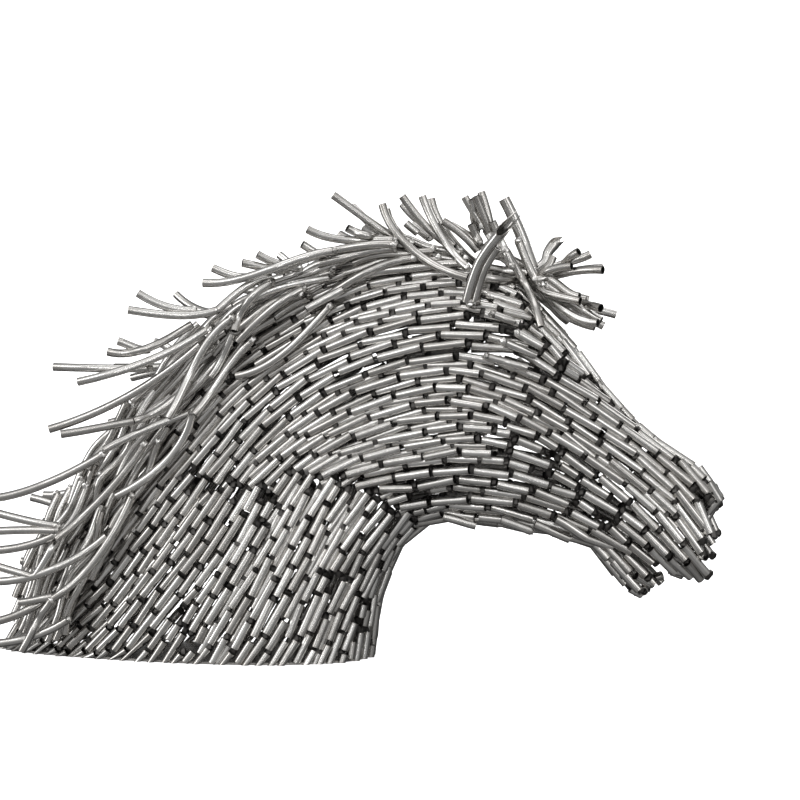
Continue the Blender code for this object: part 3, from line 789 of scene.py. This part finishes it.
def lay_skin(body, chin, materials, draw):
    """The neck's and head's pipes, and the chin's."""
    radius = SKIN_DIAMETER / 2
    batches = {name: PipeBatch() for name in ("neck_right", "neck_left", "head_right", "head_left", "chin")}
    for skin, other in ((body, chin), (chin, body)):
        ends = Crowd(JOINT_ROOM)
        lines, fillers = trace_rows(skin, draw)
        for number, line in enumerate(lines + fillers):
            points, run, cuts = cut_into_pipes(line, ends, draw)
            normals = np.array([entry[1] for entry in line])
            level = FILLER_SINK if number >= len(lines) else draw.gauss(0, ROW_LIFT)
            joined = [OPEN_ENDS[0] < line[end][2] < skin.rows - OPEN_ENDS[1] for end in (0, -1)]
            for start, stop in cuts:
                marks = (start, (start + stop) / 2, stop)
                places = values_at(marks, run, points)
                outward = unit(values_at(marks, run, normals))
                if other.depth(places[1]) > radius * BURIED:
                    continue
                sink = radius + SKIN_SINK - draw.gauss(0, PIPE_LIFT) + level
                aside = unit(np.cross(outward[1], places[2] - places[0]))
                low, high = [
                    place - normal * (sink - draw.gauss(0, END_LIFT)) + aside * draw.gauss(0, END_SHIFT)
                    for place, normal in zip(places[::2], outward[::2])
                ]
                if abs(unit(high - low) @ outward[1]) > STEEPEST_PIPE:
                    continue
                if min(skin.depth(low), skin.depth(high)) < END_DEPTH:
                    continue
                if skin is chin:
                    batch = batches["chin"]
                else:
                    part = "head" if places[1][0] > HEAD_FROM * POLL_HEIGHT else "neck"
                    batch = batches[f"{part}_{'right' if places[1][1] < 0 else 'left'}"]
                batch.add([low, high], outward[1], *SKIN_PIPE, draw.random())
                ahead = unit(high - low)
                last = stop >= run[-1] - LAST_JOINT
                for end, sign, closed in ((2, 1, joined[1] or not last), (0, -1, start == 0 and joined[0])):
                    if closed and draw.random() < LUMP_SHARE:
                        lump = places[end] + ahead * LUMP_AHEAD * sign - outward[end] * LUMP_DEPTH
                        # A weld lump with the bores' material: its near-black colour is painted shade in the
                        # joint.
                        batch.add_bead(lump, WELD_LUMP, draw.random(), bore=1, rings=4, sides=6)
    for side in (1, -1):
        for row in in_metres(JAW_PIPES):
            path, push = seen_pipe(body, row, JAW_STEPS, 0)
            batch = batches["head_right" if side > 0 else "head_left"]
            batch.add(path * (1, side, 1), push[0], *SKIN_PIPE, draw.random())
    for name, batch in batches.items():
        batch.make(f"skin_{name}", materials, ["neck_and_head"])


def in_metres(rows):
    """Rows of millimetres and degrees, with the millimetres as metres."""
    return [tuple(value if i in (2, 5) else value / 1000 for i, value in enumerate(row)) for row in rows]


def hermite(row, steps):
    """Places along a bent pipe seen from the side, from its root, heading, tip and heading there."""
    x0, z0, heading0, x1, z1, heading1 = row[:6]
    reach = math.hypot(x1 - x0, z1 - z0)
    t = np.linspace(0, 1, steps + 1)
    a, b = math.radians(heading0), math.radians(heading1)
    h00, h10 = 2 * t**3 - 3 * t**2 + 1, t**3 - 2 * t**2 + t
    h01, h11 = -2 * t**3 + 3 * t**2, t**3 - t**2
    x = h00 * x0 + h10 * reach * math.cos(a) + h01 * x1 + h11 * reach * math.cos(b)
    z = h00 * z0 + h10 * reach * math.sin(a) + h01 * z1 + h11 * reach * math.sin(b)
    return x, z


def widest(values, reach):
    """Each value raised to the largest within reach places of it."""
    padded = np.pad(values, reach, mode="edge")
    return np.max([padded[i:i + len(values)] for i in range(2 * reach + 1)], axis=0)


def softened(values, rounds):
    for _ in range(rounds):
        padded = np.pad(values, 1, mode="edge")
        values = (padded[:-2] + 2 * padded[1:-1] + padded[2:]) / 4
    return values


class Pile:
    """Bent pipes already laid; a new one is lifted along its push until it lies on them."""

    def __init__(self, diameter):
        self.points = np.zeros((0, 3))
        self.reach = diameter * PILE_REACH

    def rest(self, path, push):
        low, high = path.min(axis=0) - PILE_MARGIN, path.max(axis=0) + PILE_MARGIN
        near = self.points[((self.points > low) & (self.points < high)).all(axis=1)]
        lifts = np.zeros(len(path))
        for _ in range(PILE_ROUNDS if len(near) else 0):
            spots = path + push * lifts[:, None]
            gaps = np.sqrt(((spots[:, None] - near[None]) ** 2).sum(axis=-1)).min(axis=1)
            tight = gaps < self.reach
            if not tight.any():
                break
            lifts[tight] += PILE_LIFT
        lifts = softened(widest(lifts, 1), PILE_SOFTENING)
        return path + push * lifts[:, None]

    def add(self, path):
        self.points = np.concatenate([self.points, path])


def seen_pipe(body, row, steps, drift):
    """A bent pipe that the camera sees along row's curve, lying on the right side of the body."""
    x, z = hermite(row, steps)
    spots, toward = sight_lines(x, z)
    depth = np.full(len(x), EDGE_SIDEWAYS)
    radius = MANE_DIAMETER / 2
    for index, (spot, way) in enumerate(zip(spots, toward)):
        hit = body.tree.ray_cast(Vector(spot + way), Vector(-way))[0]
        if hit is not None:
            rise = 1.0 - np.linalg.norm(spot + way - np.array(hit))
            depth[index] = max(rise + radius, EDGE_SIDEWAYS * LEAST_DEPTH)
    depth = softened(widest(depth, 1), DEPTH_SOFTENING) + np.linspace(0, drift, len(x))
    return spots + toward * depth[:, None], toward


def nodes_named(*words):
    """The frame's nodes that have one of words in their names."""
    return [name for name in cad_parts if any(word in name for word in words)]


def lay_mane(body, materials, draw):
    """The mane, the poll's tufts and the forelock."""
    right, left, poll = PipeBatch(), PipeBatch(), PipeBatch()
    piles = {1: Pile(MANE_DIAMETER), -1: Pile(MANE_DIAMETER)}

    def lay(batch, side, path, push, diameter=MANE_DIAMETER):
        path = piles[side].rest(path, push)
        piles[side].add(path)
        path = path * (1, side, 1)
        push = push * (1, side, 1)
        path[:, 2] = np.maximum(path[:, 2], MANE_DIAMETER / 2 + FOOT_CLEARANCE)
        path[:, 1] = np.clip(path[:, 1], -WIDEST_PIPE, WIDEST_PIPE)
        batch.add(path, push[0], diameter, MANE_WALL, MANE_SIDES, draw.random())
        if draw.random() < BEAD_SHARE:
            batch.add_bead(path[0] + push[0] * MANE_DIAMETER * BEAD_RISE, WELD_BEAD, draw.random())

    first, last, sooner, apart = BASE_ROWS
    for side, batch in ((1, right), (-1, left)):
        for layer in range(MANE_LAYERS):
            for down in np.arange(first, last - sooner * layer, apart):
                station = draw.uniform(*BASE_START)
                while station < BASE_END:
                    run = draw.uniform(*BASE_RUN)
                    stray = draw.uniform(-BASE_STRAY, BASE_STRAY)
                    path, push = base_pipe(body, station, down + stray, run, draw)
                    if len(path) > FEWEST_PLACES and down < np.interp(station, *MANE_REACH):
                        lay(batch, side, path, push)
                    station += draw.uniform(*BASE_SPACING) * run / STATION_LENGTH
        for row in in_metres(MANE_PIPES):
            if side < 0:
                row = shaken(row, MANE_SHAKE, draw)
            path, push = seen_pipe(body, row, MANE_STEPS, draw.uniform(*MANE_DRIFT))
            lay(batch, side, path, push)
    right.make("mane_right", materials, nodes_named("mane_lock_right"))
    left.make("mane_left", materials, nodes_named("mane_lock_left"))

    rows = in_metres(POLL_PIPES + FORELOCK_PIPES)
    for row in rows:
        path, push = seen_pipe(body, row, POLL_STEPS, draw.uniform(*POLL_DRIFT))
        lay(poll, 1, path, push, *row[6:])
    for row in [row for row in rows if len(row) == 6]:
        row = shaken(row, POLL_SHAKE, draw)
        path, push = seen_pipe(body, row, POLL_STEPS, draw.uniform(*FAR_POLL_DRIFT))
        lay(poll, -1, path, push)
    poll.make("poll_and_forelock", materials, nodes_named("poll", "forelock"))


def lay_ears(materials, draw):
    """Both ears, each a wide pipe with a mouth and a forked tip, with a plain pipe behind it."""
    ears = ((-1, "right", RIGHT_EAR, RIGHT_EAR_PROP), (1, "left", LEFT_EAR, LEFT_EAR_PROP))
    across, along = EAR_BEAD_JOG
    for side, label, wide, prop in ears:
        batch = PipeBatch()
        degrees = np.arange(EAR_SIDES) * 360 / EAR_SIDES
        ends = np.interp(np.minimum(degrees, 360 - degrees), *EAR_WALL_ENDS)
        for stops, width, cut in ((wide, EAR_DIAMETER, ends), (prop, EAR_PROP_DIAMETER, None)):
            stops = np.array(stops)
            spots, toward = sight_lines(stops[:, 0], stops[:, 1])
            places = spots + toward * ((side * stops[:, 2] - spots[:, 1]) / toward[:, 1])[:, None]
            marks = np.linspace(0, len(places) - 1, EAR_STEPS + 1)
            path = spline(places, marks)
            swell = np.interp(marks / marks[-1], *EAR_SWELL) if cut is not None else 1.0
            ahead, up = EAR_MOUTHS[side]
            mouth = unit(toward.mean(axis=0) + np.array([ahead, 0.0, up]))
            batch.add(path, mouth, width * swell, MANE_WALL, EAR_SIDES, draw.random(), cut)
            for _ in range(EAR_BEADS):
                jog = np.array([draw.uniform(-across, across), 0.0, draw.uniform(-along, along)])
                batch.add_bead(path[0] + jog, WELD_BEAD, draw.random())
        batch.make(f"ear_pipes_{label}", materials, [f"ear_{label}"])


def lay_foot_plate(body, materials):
    """The steel plate that closes the foot, just inside the lowest pipes."""
    inset, thickness = FOOT_PLATE
    inward = body.normals[0, ::2] * (1, 1, 0)
    edge = body.points[0, ::2] - unit(inward) * inset
    low, high = edge.copy(), edge.copy()
    low[:, 2], high[:, 2] = FOOT_CLEARANCE, thickness
    count = len(edge)
    sides = [(i, (i + 1) % count, (i + 1) % count + count, i + count) for i in range(count)]
    mesh = bpy.data.meshes.new("foot_plate")
    faces = [tuple(range(count))[::-1], tuple(range(count, 2 * count)), *sides]
    mesh.from_pydata(np.concatenate([low, high]).tolist(), [], faces)
    mesh.uv_layers.new(name="pipe")
    mesh.materials.append(materials[0])
    plate = placed("foot_plate", mesh)
    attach(plate, "root")
    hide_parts("neck_and_head")


def shaken(row, spreads, draw):
    """A row of numbers, each strayed by up to its spread."""
    return tuple(value + draw.uniform(-1, 1) * spread for value, spread in zip(row, spreads))


def base_pipe(body, station, down, run, draw):
    """A waving pipe that lies along the body beside the crest, running back from a station."""
    marks = even_stations(NECK_AND_HEAD, body.rows - DOME_ROWS)
    row = float(np.interp(station, marks, np.arange(len(marks))))
    column = down / (2 * math.pi) * body.columns
    phase = draw.uniform(0, 2 * math.pi)
    wave = draw.uniform(*WAVE_SHARE) * BASE_WAVE
    path, push = [], []
    for index in range(BASE_STEPS + 1):
        place, normal, along, around, _, _ = body.at(row, column)
        path.append(place + normal * MANE_DIAMETER / 2)
        push.append(normal)
        swing = wave * math.cos(phase + index / BASE_STEPS * 2 * math.pi)
        heading = unit(-unit(along) + unit(around) * (swing * WAVE_SWING + WAVE_DROOP))
        row, column = body.moved(row, column, along, around, heading, run / BASE_STEPS)
        if row < 2:
            break
    return np.array(path), np.array(push)


def add_node(tree, kind, output, inputs, **settings):
    """Adds a shader node, whose inputs are values or other nodes' outputs, and returns one of its outputs."""
    node = tree.nodes.new(f"ShaderNode{kind}")
    for key, value in settings.items():
        setattr(node, key, value)
    for key, value in inputs.items():
        if isinstance(value, bpy.types.NodeSocket):
            tree.links.new(value, node.inputs[key])
        else:
            node.inputs[key].default_value = value
    return node.outputs[output]


def steel(name, dark, light, rough_low, rough_high, heat):
    """Satin steel: each pipe has a tone of its own, drawn lines along it and heat marks at its ends."""
    material = bpy.data.materials.new(name)
    material.use_nodes = True
    tree = material.node_tree
    add = partial(add_node, tree)
    place = add("UVMap", "UV", {}, uv_map="pipe")
    tone = add("Attribute", "Fac", {}, attribute_name="tone")
    stretched = add("Mapping", "Vector", {"Vector": place, "Scale": DRAWN_LINES})
    shift = add("Math", 0, {0: tone, 1: LINE_SHIFT}, operation="MULTIPLY")
    pattern = {"Vector": stretched, "W": shift, "Scale": 1.0, "Detail": 3.0}
    lines = add("TexNoise", "Fac", pattern, noise_dimensions="4D")
    spot = add("TexCoord", "Object", {})
    cloud = add("TexNoise", "Fac", {"Vector": spot, "Scale": CLOUDS, "Detail": 4.0})

    clouded = add("Math", 0, {0: cloud, 1: CLOUD_WEIGHT}, operation="MULTIPLY")
    mix = add("Math", 0, {0: tone, 1: TONE_WEIGHT, 2: clouded}, operation="MULTIPLY_ADD")
    ramp = add("ValToRGB", "Color", {"Fac": mix})
    low, high = ramp.node.color_ramp.elements
    low.position, high.position = 0.1, 0.8
    low.color, high.color = (*dark, 1), (*light, 1)

    along = add("SeparateXYZ", "Y", {"Vector": place})
    centred = add("Math", 0, {0: along, 1: 0.5}, operation="SUBTRACT")
    off = add("Math", 0, {0: centred}, operation="ABSOLUTE")
    span = {"From Min": HEAT_FROM, "From Max": 0.5, "To Max": heat}
    near_end = add("MapRange", "Result", {"Value": off, **span})
    marked = add("Math", 0, {0: near_end, 1: cloud}, operation="MULTIPLY")
    tint = add("Mix", "Result", {"Factor": marked, "A": ramp, "B": HEAT_COLOUR}, data_type="RGBA")

    span = {"From Min": 0.25, "From Max": 0.75, "To Min": rough_low, "To Max": rough_high}
    rough = add("MapRange", "Result", {"Value": lines, **span})
    bump = add("Bump", "Normal", {"Height": lines, "Strength": 0.3, "Distance": LINE_DEPTH})
    shader = tree.nodes["Principled BSDF"]
    shader.inputs["Metallic"].default_value = 1.0
    for key, source in (("Base Color", tint), ("Roughness", rough), ("Normal", bump)):
        tree.links.new(source, shader.inputs[key])
    return material


def stage():
    """A white floor that sweeps up behind the bust, a studio sky and soft lamps."""
    verts = [(x, y, z) for y, z in FLOOR_PROFILE for x in (-FLOOR_SIDE, FLOOR_SIDE)]
    faces = [(i, i + 1, i + 3, i + 2) for i in range(0, len(verts) - 2, 2)]
    mesh = bpy.data.meshes.new("floor")
    mesh.from_pydata(verts, [], faces)
    mesh.shade_smooth()
    floor = placed("floor", mesh)
    paper = bpy.data.materials.new("paper")
    paper.use_nodes = True
    shader = paper.node_tree.nodes["Principled BSDF"]
    for key, value in PAPER.items():
        shader.inputs[key].default_value = value
    mesh.materials.append(paper)
    floor.visible_glossy = False

    world = bpy.data.worlds.new("studio")
    bpy.context.scene.world = world
    world.use_nodes = True
    studio_light(world.node_tree)

    for row in LAMPS:
        lamp(*row)
    bpy.context.scene.view_settings.view_transform = "Standard"


def studio_light(tree):
    """Soft light from the front and from above, and dark behind the bust."""
    add = partial(add_node, tree)
    spot = add("TexCoord", "Generated", {})
    shares = {}
    for index, (axis, start, stop, least, most) in enumerate(SKY):
        way = add("SeparateXYZ", axis, {"Vector": spot})
        span = {"Value": way, "From Min": start, "From Max": stop, "To Min": least, "To Max": most}
        shares[index] = add("MapRange", "Result", span, interpolation_type="SMOOTHSTEP")
    background = tree.nodes["Background"]
    tree.links.new(add("Math", 0, shares, operation="MULTIPLY"), background.inputs["Strength"])
    background.inputs["Color"].default_value = (1.0, 1.0, 1.0, 1)


def lamp(name, place, target, width, height, watts):
    data = bpy.data.lights.new(name, "AREA")
    data.shape = "RECTANGLE"
    data.size, data.size_y = width, height
    data.energy = watts
    item = placed(name, data)
    item.location = place
    item.rotation_euler = (Vector(target) - Vector(place)).to_track_quat("-Z", "Y").to_euler()


def camera():
    """The photograph's camera."""
    data = bpy.data.cameras.new("camera")
    data.lens = CAMERA_LENS
    data.sensor_width = SENSOR_WIDTH
    item = placed("camera", data)
    place, _, forward = camera_axes()
    item.location = place
    item.rotation_euler = Vector(forward).to_track_quat("-Z", "Y").to_euler()
    bpy.context.scene.camera = item


def main():
    draw = random.Random(SEED)
    outside = steel("stainless_pipe", *OUTSIDE_STEEL)
    # The bores' near-black colour is painted shade inside the pipes and on the joints' lumps.
    bore = steel("pipe_bore_painted_shade", *BORE_PAINTED_SHADE_STEEL)
    body = Skin(NECK_AND_HEAD, BODY_ROWS, BODY_COLUMNS, MUZZLE_DOME, True)
    chin = Skin(CHIN, CHIN_ROWS, CHIN_COLUMNS, CHIN_DOME, False)
    lay_skin(body, chin, [outside, bore], draw)
    lay_mane(body, [outside, bore], draw)
    lay_ears([outside, outside], draw)
    lay_foot_plate(body, [outside, bore])
    stage()
    camera()


main()
